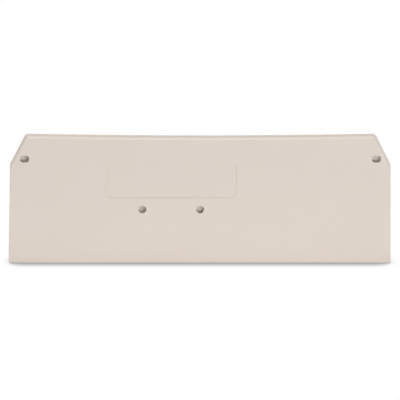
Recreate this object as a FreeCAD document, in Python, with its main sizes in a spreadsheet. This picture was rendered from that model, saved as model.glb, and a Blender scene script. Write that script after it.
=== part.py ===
"""End cover of a rail-mounted terminal block, moulded in one piece.

A thin plate closes the open side of the last block in a row. Its outer side is smooth, with four blind
sockets and a shallow marking panel. Its inner side is a shell with a rim, ribs and a boss behind each
socket, and each boss carries a pin that presses into the block.

Millimetres. X runs along the block, Y through the plate towards the block, Z away from the rail. The
origin is the middle of the foot edge.
"""
import FreeCAD, Part
import enum
import math
import os

import Sketcher

SIZES = [
    # The plate as seen from outside
    ("length", 86.0, "length of the foot edge"),
    ("height", 29.45, "foot edge to the top corners"),
    ("thickness", 2.5, "outer face to the mating plane"),
    ("side_inset", 0.22, "how far each side leans in between the foot and the shoulder"),
    ("shoulder_height", 22.4, "foot edge to the shoulder where the slant starts"),
    ("slant_run", 3.48, "how far each slant runs in from the shoulder to the top corner"),
    ("top_dip", 0.4, "how far the top edge sags in the middle"),
    ("corner_round", 1.0, "radius of the two top corners"),
    ("top_edge_round", 0.6, "rounding of the outer face along the top and the slants"),
    ("edge_round", 0.08, "rounding of the outer face along the sides and the foot"),
    # The shell on the inner side
    ("wall", 1.2, "thickness of the outer wall and of the rim"),
    ("rib_thickness", 0.8, "thickness of the stiffening ribs"),
    ("rib_drop", 0.3, "how far the ribs stay below the mating plane"),
    ("rib_count", 5, "number of upright ribs"),
    # The sockets in the outer face and the bosses behind them
    ("socket_diameter", 1.75, "bore of the two round sockets"),
    ("socket_height", 12.43, "foot edge to the round sockets"),
    ("socket_pitch", 13.0, "distance between the round sockets, and between the ribs"),
    ("slot_length", 2.0, "length of the two end sockets"),
    ("slot_width", 1.55, "width of the two end sockets"),
    ("slot_round", 0.58, "corner radius of the two end sockets"),
    ("slot_height", 24.2, "foot edge to the end sockets"),
    ("slot_inset", 3.4, "end of the foot edge to the end sockets"),
    ("socket_floor", 0.5, "material left between a socket and the pin behind it"),
    ("boss_wall", 0.8, "wall of the bosses round the sockets"),
    # The pins on the bosses
    ("pin_fit", 0.05, "how much thinner a pin is than the socket it fits"),
    ("pin_end_gap", 0.2, "room left at the end of a pin in its socket"),
    ("pin_lead", 0.3, "chamfer at the tip of a pin"),
    # The marking panel in the outer face
    ("panel_length", 29.2, "length of the marking panel"),
    ("panel_height", 8.25, "height of the marking panel"),
    ("panel_round", 1.35, "corner radius of the marking panel"),
    ("panel_depth", 0.2, "depth of the marking panel"),
    ("panel_rise", 2.69, "round sockets to the lower edge of the marking panel"),
    ("panel_lip", 0.08, "rounding of the edge where the face drops into the marking panel"),
    # The marks that the ejectors leave on the inner side
    ("ejector_diameter", 2.2, "diameter of an ejector mark"),
    ("ejector_rise", 0.06, "how far an ejector mark stands up"),
    ("ejector_low", 6.2, "foot edge to the lower row of ejector marks"),
    ("ejector_high", 20.4, "foot edge to the upper row of ejector marks"),
]

doc = FreeCAD.newDocument("terminal_block_end_cover")
sheet = doc.addObject("Spreadsheet::Sheet", "sizes")
for row, (alias, number, meaning) in enumerate(SIZES, start=1):
    sheet.set(f"A{row}", str(number))
    sheet.setAlias(f"A{row}", alias)
    sheet.set(f"B{row}", meaning)

body = doc.addObject("PartDesign::Body", "end_cover")
body.Label = "end_cover"
doc.recompute()
planes_and_axes = {part.Role: part for part in body.Origin.OriginFeatures}

# The sketcher's own numbers for its origin, its two axes and the points of a line or an arc


class Point(enum.IntEnum):
    START = 1
    END = 2
    CENTRE = 3


class Axis(enum.IntEnum):
    LEVEL = -1
    UPRIGHT = -2


ORIGIN = (Axis.LEVEL, Point.START)

# How far the outer face and the mating plane lie from the middle of the plate, towards the outside
OUTER_FACE = "sizes.thickness / 2"
MATING_PLANE = "-sizes.thickness / 2"

# Points closer than this are taken as one
SAME_PLACE = 1e-6


# Helpers: a place is a pair of expressions, right of and above the origin of a sketch

def worth(expression):
    """Works out an expression of the sheet's sizes."""
    return float(body.evalExpression(expression))


def spot(place):
    """The point that a place stands for now."""
    return FreeCAD.Vector(worth(place[0]), worth(place[1]), 0)


def mirrored(place):
    """The same place on the left half."""
    return (f"-({place[0]})", place[1])


def new_sketch(name, plane):
    """A sketch parallel to the outer face, on the plane with that distance from the middle."""
    sketch = body.newObject("Sketcher::SketchObject", name)
    sketch.AttachmentSupport = [(planes_and_axes["XZ_Plane"], "")]
    sketch.MapMode = "FlatFace"
    sketch.setExpression("AttachmentOffset.Base.z", plane)
    return sketch


def tie(sketch, kind, points, name, expression):
    """Adds a named dimension to a sketch and binds it to the sheet."""
    index = sketch.addConstraint(Sketcher.Constraint(kind, *points, worth(expression)))
    sketch.renameConstraint(index, name)
    sketch.setExpression(f"Constraints.{name}", expression)


def hold(sketch, geometry, point, name, place):
    """Holds a point of a sketch at a place."""
    for kind, axis, expression in zip(("DistanceX", "DistanceY"), (Axis.UPRIGHT, Axis.LEVEL), place):
        if worth(expression) == 0:
            sketch.addConstraint(Sketcher.Constraint("PointOnObject", geometry, point, axis))
        elif worth(expression) > 0:
            tie(sketch, kind, (*ORIGIN, geometry, point), f"{name}_{kind[-1]}", expression)
        else:
            tie(sketch, kind, (geometry, point, *ORIGIN), f"{name}_{kind[-1]}", f"-({expression})")


def join(sketch, *points):
    """Makes two points of a sketch one."""
    sketch.addConstraint(Sketcher.Constraint("Coincident", *points))


def polygon(sketch, name, places, closed=True):
    """Adds straight lines from place to place, and gives their numbers."""
    ends = places[1:] + places[:1] if closed else places[1:]
    lines = [sketch.addGeometry(Part.LineSegment(spot(a), spot(b))) for a, b in zip(places, ends)]
    for before, after in zip(lines, lines[1:]):
        join(sketch, before, Point.END, after, Point.START)
    if closed:
        join(sketch, lines[-1], Point.END, lines[0], Point.START)
    for number, geometry in enumerate(lines):
        hold(sketch, geometry, Point.START, f"{name}_{number}", places[number])
    if not closed:
        hold(sketch, lines[-1], Point.END, f"{name}_end", places[-1])
    return lines


def circle(sketch, name, place, radius):
    """Adds a circle about a place."""
    geometry = sketch.addGeometry(Part.Circle(spot(place), FreeCAD.Vector(0, 0, 1), worth(radius)))
    hold(sketch, geometry, Point.CENTRE, name, place)
    tie(sketch, "Radius", (geometry,), f"{name}_radius", radius)


def rounded_loop(sketch, name, places, radius):
    """Adds equal arcs about places, given anticlockwise, and the tangent lines that join them."""
    centres = [spot(place) for place in places]
    following = centres[1:] + centres[:1]
    reach = worth(radius)
    headings = [math.atan2(b.y - a.y, b.x - a.x) for a, b in zip(centres, following)]
    arcs = []
    lines = []
    for number, centre in enumerate(centres):
        first = headings[number - 1] - math.pi / 2
        last = headings[number] - math.pi / 2
        if last < first:
            last += 2 * math.pi
        whole = Part.Circle(centre, FreeCAD.Vector(0, 0, 1), reach)
        arcs.append(sketch.addGeometry(Part.ArcOfCircle(whole, first, last)))
        aside = FreeCAD.Vector(math.cos(last), math.sin(last), 0) * reach
        lines.append(sketch.addGeometry(Part.LineSegment(centre + aside, following[number] + aside)))
    for number, geometry in enumerate(arcs):
        sketch.addConstraint(Sketcher.Constraint("Tangent", geometry, Point.END, lines[number], Point.START))
        sketch.addConstraint(Sketcher.Constraint("Tangent", lines[number - 1], Point.END, geometry, Point.START))
        hold(sketch, geometry, Point.CENTRE, f"{name}_{number}", places[number])
        if number:
            sketch.addConstraint(Sketcher.Constraint("Equal", arcs[0], geometry))
    tie(sketch, "Radius", (arcs[0],), f"{name}_radius", radius)


def rounded_rectangle(sketch, name, place, length, width, radius):
    """Adds a level rectangle with rounded corners and its middle at a place."""
    right, up = place
    along = f"(({length}) / 2 - ({radius}))"
    across = f"(({width}) / 2 - ({radius}))"
    rounded_loop(sketch, name, [(f"{right} - {along}", f"{up} - {across}"),
                                (f"{right} + {along}", f"{up} - {across}"),
                                (f"{right} + {along}", f"{up} + {across}"),
                                (f"{right} - {along}", f"{up} + {across}")], radius)


def feature(kind, name, bound, **settings):
    """Adds a feature after the last one, with its bound sizes and its settings."""
    new = body.newObject(kind, name)
    for setting, value in settings.items():
        setattr(new, setting, value)
    for target, expression in bound.items():
        new.setExpression(target, expression)
    body.Tip = new
    doc.recompute()
    return new


def edges(solid, wanted):
    """A feature and the names of its edges that pass a test."""
    names = [f"Edge{n}" for n, edge in enumerate(solid.Shape.Edges, start=1) if wanted(edge)]
    return (solid, names)


def lies_on(shape, level):
    """Whether a face or an edge lies in the plane at that Y."""
    return all(abs(vertex.Y - level) < SAME_PLACE for vertex in shape.Vertexes)


# The plate: a long outline with leaning sides, two slanted corners and a top edge that sags a little

FOOT = ("sizes.length / 2", "0")
SHOULDER = ("sizes.length / 2 - sizes.side_inset", "sizes.shoulder_height")
TOP_CORNER = ("sizes.length / 2 - sizes.side_inset - sizes.slant_run", "sizes.height")
TOP_RADIUS = f"(({TOP_CORNER[0]})^2 + sizes.top_dip^2) / (2 * sizes.top_dip)"

outline = new_sketch("outline", "0")
corners = [mirrored(TOP_CORNER), mirrored(SHOULDER), mirrored(FOOT), FOOT, SHOULDER, TOP_CORNER]
sides = polygon(outline, "corner", corners, closed=False)
top_radius = worth(TOP_RADIUS)
top_middle = FreeCAD.Vector(0, worth(f"sizes.height - sizes.top_dip + {TOP_RADIUS}"), 0)
half_sweep = math.asin(worth(TOP_CORNER[0]) / top_radius)
top_circle = Part.Circle(top_middle, FreeCAD.Vector(0, 0, 1), top_radius)
lowest = 1.5 * math.pi
top = outline.addGeometry(Part.ArcOfCircle(top_circle, lowest - half_sweep, lowest + half_sweep))
join(outline, top, Point.START, sides[0], Point.START)
join(outline, top, Point.END, sides[-1], Point.END)
tie(outline, "Radius", (top,), "top_radius", TOP_RADIUS)
plate = feature("PartDesign::Pad", "plate", {"Length": "sizes.thickness"},
                Profile=outline, SideType="Symmetric")

# The shell: the plate is hollowed from the mating side and keeps an even wall and rim

mating_level = worth("sizes.thickness / 2")
outer_level = -mating_level
open_faces = [f"Face{n}" for n, face in enumerate(plate.Shape.Faces, start=1)
              if lies_on(face, mating_level)]
shell = feature("PartDesign::Thickness", "shell", {"Value": "sizes.wall"},
                Base=(plate, open_faces), Reversed=True, Join="Intersection")

# The rounded edges: two top corners, then the outer face, softer along the top than along the foot

top_height = worth("sizes.height")
shoulder_height = worth("sizes.shoulder_height")
outer_corners = edges(shell, lambda edge: (
    edge.BoundBox.YLength > worth("sizes.wall") + SAME_PLACE
    and abs(edge.CenterOfMass.z - top_height) < SAME_PLACE))
round_corners = feature("PartDesign::Fillet", "round_corners", {"Radius": "sizes.corner_round"},
                        Base=outer_corners)
upper_edges = edges(round_corners, lambda edge: (
    lies_on(edge, outer_level) and edge.CenterOfMass.z > shoulder_height))
soft_top = feature("PartDesign::Fillet", "soft_top", {"Radius": "sizes.top_edge_round"},
                   Base=upper_edges)
lower_edges = edges(soft_top, lambda edge: (
    lies_on(edge, outer_level) and edge.CenterOfMass.z < shoulder_height))
soft_foot = feature("PartDesign::Fillet", "soft_foot", {"Radius": "sizes.edge_round"},
                    Base=lower_edges)

# The ribs: uprights at the pitch of the round sockets and one long rib through them

HOLLOW = "sizes.thickness - sizes.wall"
RIB_PLANE = "sizes.rib_drop - sizes.thickness / 2"
RIB_HEIGHT = f"{HOLLOW} - sizes.rib_drop"
HALF_RIB = "sizes.rib_thickness / 2"
IN_THE_RIM = "sizes.wall / 2"
FIRST_RIB = "-(sizes.rib_count - 1) / 2 * sizes.socket_pitch"


def rectangle(sketch, name, left, low, right, high):
    """Adds a level rectangle between four expressions."""
    polygon(sketch, name, [(left, low), (right, low), (right, high), (left, high)])


upright = new_sketch("upright_rib_outline", RIB_PLANE)
rectangle(upright, "rib", f"{FIRST_RIB} - {HALF_RIB}", IN_THE_RIM,
          f"{FIRST_RIB} + {HALF_RIB}", f"sizes.height - sizes.top_dip - {IN_THE_RIM}")
first_rib = feature("PartDesign::Pad", "upright_rib", {"Length": RIB_HEIGHT}, Profile=upright)
uprights = feature("PartDesign::LinearPattern", "upright_ribs",
                   {"Offset": "sizes.socket_pitch", "Occurrences": "sizes.rib_count"},
                   Originals=[first_rib], Direction=(planes_and_axes["X_Axis"], [""]), Mode="Spacing")
level = new_sketch("long_rib_outline", RIB_PLANE)
rib_end = f"{SHOULDER[0]} - {IN_THE_RIM}"
rectangle(level, "rib", f"-({rib_end})", f"sizes.socket_height - {HALF_RIB}",
          rib_end, f"sizes.socket_height + {HALF_RIB}")
long_rib = feature("PartDesign::Pad", "long_rib", {"Length": RIB_HEIGHT}, Profile=level)

# The bosses: one behind each socket, from the outer wall up to the mating plane

ROUND_PLACES = [("0", "sizes.socket_height"), ("-sizes.socket_pitch", "sizes.socket_height")]
END_PLACE = ("sizes.length / 2 - sizes.slot_inset", "sizes.slot_height")
END_PLACES = [mirrored(END_PLACE), END_PLACE]

boss_outlines = new_sketch("boss_outlines", MATING_PLANE)
for number, place in enumerate(ROUND_PLACES):
    circle(boss_outlines, f"round_{number}", place, "sizes.socket_diameter / 2 + sizes.boss_wall")
for number, place in enumerate(END_PLACES):
    rounded_rectangle(boss_outlines, f"end_{number}", place, "sizes.slot_length + 2 * sizes.boss_wall",
                      "sizes.slot_width + 2 * sizes.boss_wall", "sizes.slot_round + sizes.boss_wall")
bosses = feature("PartDesign::Pad", "bosses", {"Length": HOLLOW}, Profile=boss_outlines)

# The sockets: two round ones that locate the cover, and two wider ones near its ends

SOCKET_DEPTH = "sizes.thickness - sizes.socket_floor"
socket_outlines = new_sketch("socket_outlines", OUTER_FACE)
for number, place in enumerate(ROUND_PLACES):
    circle(socket_outlines, f"round_{number}", place, "sizes.socket_diameter / 2")
for number, place in enumerate(END_PLACES):
    rounded_rectangle(socket_outlines, f"end_{number}", place,
                      "sizes.slot_length", "sizes.slot_width", "sizes.slot_round")
sockets = feature("PartDesign::Pocket", "sockets", {"Length": SOCKET_DEPTH}, Profile=socket_outlines)

# The pins: one on each boss, coaxial with its socket, with a chamfered tip that leads it in

PIN_LENGTH = f"{SOCKET_DEPTH} - sizes.pin_end_gap"
pin_outlines = new_sketch("pin_outlines", MATING_PLANE)
for number, place in enumerate(ROUND_PLACES):
    circle(pin_outlines, f"round_{number}", place, "(sizes.socket_diameter - sizes.pin_fit) / 2")
for number, place in enumerate(END_PLACES):
    circle(pin_outlines, f"end_{number}", place, "(sizes.slot_width - sizes.pin_fit) / 2")
pins = feature("PartDesign::Pad", "pins", {"Length": PIN_LENGTH}, Profile=pin_outlines, Reversed=True)
tip_level = worth(f"sizes.thickness / 2 + {PIN_LENGTH}")
pin_tips = feature("PartDesign::Chamfer", "pin_tips", {"Size": "sizes.pin_lead"},
                   Base=edges(pins, lambda edge: lies_on(edge, tip_level)))

# The marking panel: a shallow rounded recess centred over the two round sockets

PANEL_MIDDLE = ("-sizes.socket_pitch / 2",
                "sizes.socket_height + sizes.panel_rise + sizes.panel_height / 2")

panel_outline = new_sketch("panel_outline", OUTER_FACE)
rounded_rectangle(panel_outline, "panel", PANEL_MIDDLE,
                  "sizes.panel_length", "sizes.panel_height", "sizes.panel_round")
panel = feature("PartDesign::Pocket", "marking_panel", {"Length": "sizes.panel_depth"},
                Profile=panel_outline)
panel_middle = spot(PANEL_MIDDLE)
half_length = worth("sizes.panel_length / 2") + SAME_PLACE
half_height = worth("sizes.panel_height / 2") + SAME_PLACE
lip_edges = edges(panel, lambda edge: (
    lies_on(edge, outer_level)
    and abs(edge.CenterOfMass.x - panel_middle.x) < half_length
    and abs(edge.CenterOfMass.z - panel_middle.y) < half_height))
panel_lip = feature("PartDesign::Fillet", "panel_lip", {"Radius": "sizes.panel_lip"}, Base=lip_edges)

# The ejector marks: two level rows of low discs on the inner wall, beside and between the uprights

INNER_WALL = "sizes.thickness / 2 - sizes.wall"
FIRST_MARK = f"{FIRST_RIB} - sizes.socket_pitch / 2"

mark_outlines = new_sketch("mark_outlines", INNER_WALL)
for row_name, row_height in (("low", "sizes.ejector_low"), ("high", "sizes.ejector_high")):
    circle(mark_outlines, row_name, (FIRST_MARK, row_height), "sizes.ejector_diameter / 2")
first_marks = feature("PartDesign::Pad", "first_ejector_marks", {"Length": "sizes.ejector_rise"},
                      Profile=mark_outlines, Reversed=True)
ejector_marks = feature("PartDesign::LinearPattern", "ejector_marks",
                        {"Offset": "sizes.socket_pitch", "Occurrences": "sizes.rib_count + 1"},
                        Originals=[first_marks], Direction=(planes_and_axes["X_Axis"], [""]),
                        Mode="Spacing")

# Checks before the shape is written

doc.recompute()
faulty = [thing.Name for thing in doc.Objects if {"Invalid", "Error"} & set(thing.State)]
if faulty:
    raise RuntimeError(f"failed: {faulty}")
for cut, before in ((shell, plate), (sockets, bosses), (panel, pin_tips)):
    if cut.Shape.Volume >= before.Shape.Volume:
        raise RuntimeError(f"{cut.Name} takes nothing away")
for grown, before in ((bosses, long_rib), (pins, sockets), (ejector_marks, panel_lip)):
    if grown.Shape.Volume <= before.Shape.Volume:
        raise RuntimeError(f"{grown.Name} adds nothing")
cover = body.Shape
if cover.isNull() or not cover.isValid() or len(cover.Solids) != 1:
    raise RuntimeError("the cover is not one valid solid")

os.makedirs("parts", exist_ok=True)
cover.exportStep(f"parts/{body.Label}.step")
box = cover.optimalBoundingBox()
print(f"{body.Label}: {box.XLength:.2f} x {box.YLength:.2f} x {box.ZLength:.2f} mm, "
      f"{cover.Volume:.1f} mm3, {len(cover.Faces)} faces")
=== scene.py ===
"""End cover of a rail-mounted terminal block, standing on its foot edge on a white studio table."""
import math

import bpy
from mathutils import Matrix, Vector


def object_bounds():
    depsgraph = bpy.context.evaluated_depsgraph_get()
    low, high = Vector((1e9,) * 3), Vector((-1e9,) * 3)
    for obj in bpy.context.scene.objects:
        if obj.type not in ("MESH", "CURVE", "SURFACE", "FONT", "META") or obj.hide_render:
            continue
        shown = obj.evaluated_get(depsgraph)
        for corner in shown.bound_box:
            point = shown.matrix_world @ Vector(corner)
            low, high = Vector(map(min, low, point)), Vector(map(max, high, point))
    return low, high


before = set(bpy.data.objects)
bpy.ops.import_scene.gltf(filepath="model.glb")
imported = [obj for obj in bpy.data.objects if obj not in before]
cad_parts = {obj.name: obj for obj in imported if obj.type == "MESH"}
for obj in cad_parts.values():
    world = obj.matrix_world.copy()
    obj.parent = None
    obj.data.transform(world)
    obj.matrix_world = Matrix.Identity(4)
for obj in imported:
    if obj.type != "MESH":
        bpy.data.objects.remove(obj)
cad_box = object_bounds()

# End cover
# One moulding of light warm grey polyamide 6.6, as it leaves the tool, with no paint and no polish. The
# frame's own solid has its whole shape, so it only gets its finish here.

MM = 0.001
# The pigment spreads a little unevenly as the melt flows, in patches some 7 mm wide.
PIGMENT = "#DDD3CB"
PIGMENT_THIN = "#DAD0C7"
MOTTLE_MM = 7.0
MOTTLE_DETAIL = 3.0
# The real grain is about 0.05 mm wide. That is too fine to show, so it is drawn five times as coarse.
GRAIN_MM = 0.25
GRAIN_DETAIL = 2.0
GRAIN_DEPTH_MM = 0.012
GRAIN_RELIEF = 0.6
ROUGHNESS_LOW = 0.42
ROUGHNESS_HIGH = 0.58
POLYAMIDE_IOR = 1.53


def linear(code):
    """Turns an sRGB hex colour into the linear one that a shader takes."""
    parts = [int(code[i:i + 2], 16) / 255 for i in (1, 3, 5)]
    return [p / 12.92 if p <= 0.04045 else ((p + 0.055) / 1.055) ** 2.4 for p in parts] + [1.0]


def node(tree, kind, feeds=None, **settings):
    """Adds a node. Feeds names each input and gives it a value or another node's output."""
    made = tree.nodes.new(kind)
    for name, value in settings.items():
        setattr(made, name, value)
    for socket, source in (feeds or {}).items():
        if isinstance(source, bpy.types.NodeSocket):
            tree.links.new(source, made.inputs[socket])
        else:
            made.inputs[socket].default_value = source
    return made


def empty_tree(owner):
    """Gives a material or a world an empty node tree."""
    owner.use_nodes = True
    owner.node_tree.nodes.clear()
    return owner.node_tree


def moulded_polyamide():
    """Polyamide 6.6 from a spark-eroded tool: an even satin whose grain breaks up every highlight."""
    material = bpy.data.materials.new("moulded_polyamide")
    tree = empty_tree(material)
    place = node(tree, "ShaderNodeTexCoord").outputs["Object"]
    mottle = node(tree, "ShaderNodeTexNoise",
                  {"Vector": place, "Scale": 1 / (MOTTLE_MM * MM), "Detail": MOTTLE_DETAIL})
    tint = node(tree, "ShaderNodeMix", {"Factor": mottle.outputs["Fac"], 6: linear(PIGMENT_THIN),
                                        7: linear(PIGMENT)}, data_type="RGBA")
    grain = node(tree, "ShaderNodeTexNoise",
                 {"Vector": place, "Scale": 1 / (GRAIN_MM * MM), "Detail": GRAIN_DETAIL})
    relief = node(tree, "ShaderNodeBump", {"Height": grain.outputs["Fac"], "Strength": GRAIN_RELIEF,
                                           "Distance": GRAIN_DEPTH_MM * MM})
    satin = node(tree, "ShaderNodeMapRange", {"Value": grain.outputs["Fac"], "To Min": ROUGHNESS_LOW,
                                              "To Max": ROUGHNESS_HIGH})
    skin = node(tree, "ShaderNodeBsdfPrincipled",
                {"Base Color": tint.outputs[2], "Roughness": satin.outputs["Result"],
                 "Normal": relief.outputs["Normal"], "IOR": POLYAMIDE_IOR})
    node(tree, "ShaderNodeOutputMaterial", {"Surface": skin.outputs["BSDF"]})
    return material


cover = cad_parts["end_cover"]
cover.material_slots[0].material = moulded_polyamide()

# Studio table
# A sheet of white card. The camera sees it pure white, apart from a painted contact shadow, a soft dark
# line in front of the foot and behind it, painted where the cover's walls hide half of the sky.

CARD = "#F2F2F2"
CARD_SIDE_M = 5.0
# The painted shadow line lies where the card, looking low to the front and low to the back,
# meets the cover within 5 mm.
CONTACT_REACH_MM = 5.0
CONTACT_TILT = math.radians(60)
CONTACT_SAMPLES = 16
# The share of open sky at which the painted shadow turns the card black, and the share at which it is
# fully white.
CONTACT_BLACK = -0.05
CONTACT_CLEAR = 0.87


def seen_directly(tree):
    """One for what the camera, a mirror or glass sees, nought for the light that a surface sends on."""
    rays = node(tree, "ShaderNodeLightPath")
    mirrored = node(tree, "ShaderNodeMath", {0: rays.outputs["Is Camera Ray"],
                                             1: rays.outputs["Is Glossy Ray"]}, operation="MAXIMUM")
    return node(tree, "ShaderNodeMath", {0: mirrored.outputs[0],
                                         1: rays.outputs["Is Transmission Ray"]},
                operation="MAXIMUM").outputs[0]


def white_card_with_painted_shadow():
    """Matt white card seen pure white, with a painted shadow, softly darker where the cover stands over
    it.
    """
    material = bpy.data.materials.new("white_card_with_painted_shadow")
    tree = empty_tree(material)
    open_sky = []
    for side in (-1, 1):
        look = node(tree, "ShaderNodeCombineXYZ", {"Y": side * math.sin(CONTACT_TILT),
                                                   "Z": math.cos(CONTACT_TILT)})
        sky = node(tree, "ShaderNodeAmbientOcclusion",
                   {"Normal": look.outputs[0], "Distance": CONTACT_REACH_MM * MM},
                   samples=CONTACT_SAMPLES)
        open_sky.append(sky.outputs["AO"])
    least = node(tree, "ShaderNodeMath", {0: open_sky[0], 1: open_sky[1]}, operation="MINIMUM")
    shade = node(tree, "ShaderNodeMapRange", {"Value": least.outputs[0], "From Min": CONTACT_BLACK,
                                              "From Max": CONTACT_CLEAR},
                 interpolation_type="SMOOTHSTEP")
    # The camera sees this emission, which paints the contact shadow onto the card.
    white_with_painted_shadow = node(tree, "ShaderNodeEmission", {"Color": shade.outputs["Result"]})
    card = node(tree, "ShaderNodeBsdfDiffuse", {"Color": linear(CARD)})
    both = node(tree, "ShaderNodeMixShader", {0: seen_directly(tree), 1: card.outputs[0],
                                              2: white_with_painted_shadow.outputs[0]})
    node(tree, "ShaderNodeOutputMaterial", {"Surface": both.outputs[0]})
    return material


half = CARD_SIDE_M / 2
card_mesh = bpy.data.meshes.new("table")
card_mesh.from_pydata([(-half, -half, 0), (half, -half, 0), (half, half, 0), (-half, half, 0)],
                      [], [(0, 1, 2, 3)])
card_mesh.materials.append(white_card_with_painted_shadow())
table = bpy.data.objects.new("table", card_mesh)
bpy.context.scene.collection.objects.link(table)

# Studio light
# A low wide soft box in front and a little to the right, a large one straight overhead, fainter ones
# towards both sides and at the back, and a faint white tent all round. All but the overhead one have a
# polarising sheet, so that no wall flares up where it is seen along its surface.

WHITE = "#FFFFFF"
TENT_LEVEL = 0.08
LAMP_DISTANCE_M = 0.8

tent = bpy.data.worlds.new("white_tent")
bpy.context.scene.world = tent
tent_tree = empty_tree(tent)
lit = node(tent_tree, "ShaderNodeBackground", {"Color": linear(WHITE), "Strength": TENT_LEVEL})
shown = node(tent_tree, "ShaderNodeBackground", {"Color": linear(WHITE), "Strength": 1.0})
either = node(tent_tree, "ShaderNodeMixShader", {0: seen_directly(tent_tree), 1: lit.outputs[0],
                                                 2: shown.outputs[0]})
node(tent_tree, "ShaderNodeOutputWorld", {"Surface": either.outputs[0]})


def soft_box(name, azimuth, elevation, width, height, level, colour=WHITE, sheen=False):
    """Hangs a soft box of a size in metres that faces the cover, with sheen where it has no polariser.

    The angles are in degrees. At level 1 and alone it shows white card as white.
    """
    lamp = bpy.data.lights.new(name, "AREA")
    lamp.shape = "RECTANGLE"
    lamp.size = width
    lamp.size_y = height
    lamp.color = linear(colour)[:3]
    lamp.energy = level * math.pi ** 2 * LAMP_DISTANCE_M ** 2
    holder = bpy.data.objects.new(name, lamp)
    a = math.radians(azimuth)
    e = math.radians(elevation)
    way = Vector((math.sin(a) * math.cos(e), -math.cos(a) * math.cos(e), math.sin(e)))
    holder.location = way * LAMP_DISTANCE_M
    holder.rotation_euler = way.to_track_quat("Z", "Y").to_euler()
    holder.visible_glossy = sheen
    bpy.context.scene.collection.objects.link(holder)


soft_box("front_box", 12, 6, 0.4, 0.16, 0.51)
soft_box("overhead_box", 180, 88, 0.5, 0.3, 0.61, colour="#FFFAF4", sheen=True)
soft_box("left_box", -70, 20, 0.3, 0.3, 0.15)
soft_box("right_box", 50, 15, 0.3, 0.3, 0.077)
soft_box("rear_box", 180, 6, 0.4, 0.16, 0.4)

# Camera
# A long lens far off, 15.5 degrees above the table and a touch to the left, rolled until the foot
# edge lies level in the picture.

FRAME_PX = 400
PX_PER_MM = 4.44
FOOT_MIDDLE_PX = (199.75, 262.75)
VIEW_AZIMUTH = math.radians(-1.6)
VIEW_ELEVATION = math.radians(15.5)
CAMERA_DISTANCE_M = 4.0
SENSOR_MM = 36.0

lens = bpy.data.cameras.new("long_lens")
lens.sensor_width = SENSOR_MM
lens.lens = SENSOR_MM * CAMERA_DISTANCE_M * PX_PER_MM / (FRAME_PX * MM)
camera = bpy.data.objects.new("camera", lens)
back = Vector((math.sin(VIEW_AZIMUTH) * math.cos(VIEW_ELEVATION),
               -math.cos(VIEW_AZIMUTH) * math.cos(VIEW_ELEVATION), math.sin(VIEW_ELEVATION)))
foot_edge = Vector((1, 0, 0))
right = (foot_edge - back * foot_edge.dot(back)).normalized()
up = back.cross(right)
foot_middle = Vector((0, cad_box[0][1], 0))
off_centre = (FRAME_PX / 2 - FOOT_MIDDLE_PX[0], FOOT_MIDDLE_PX[1] - FRAME_PX / 2)
aim = foot_middle + (right * off_centre[0] + up * off_centre[1]) * MM / PX_PER_MM
turn = Matrix((right, up, back)).transposed().to_4x4()
camera.matrix_world = Matrix.Translation(aim + back * CAMERA_DISTANCE_M) @ turn
bpy.context.scene.collection.objects.link(camera)
bpy.context.scene.camera = camera
bpy.context.scene.view_settings.view_transform = "Standard"
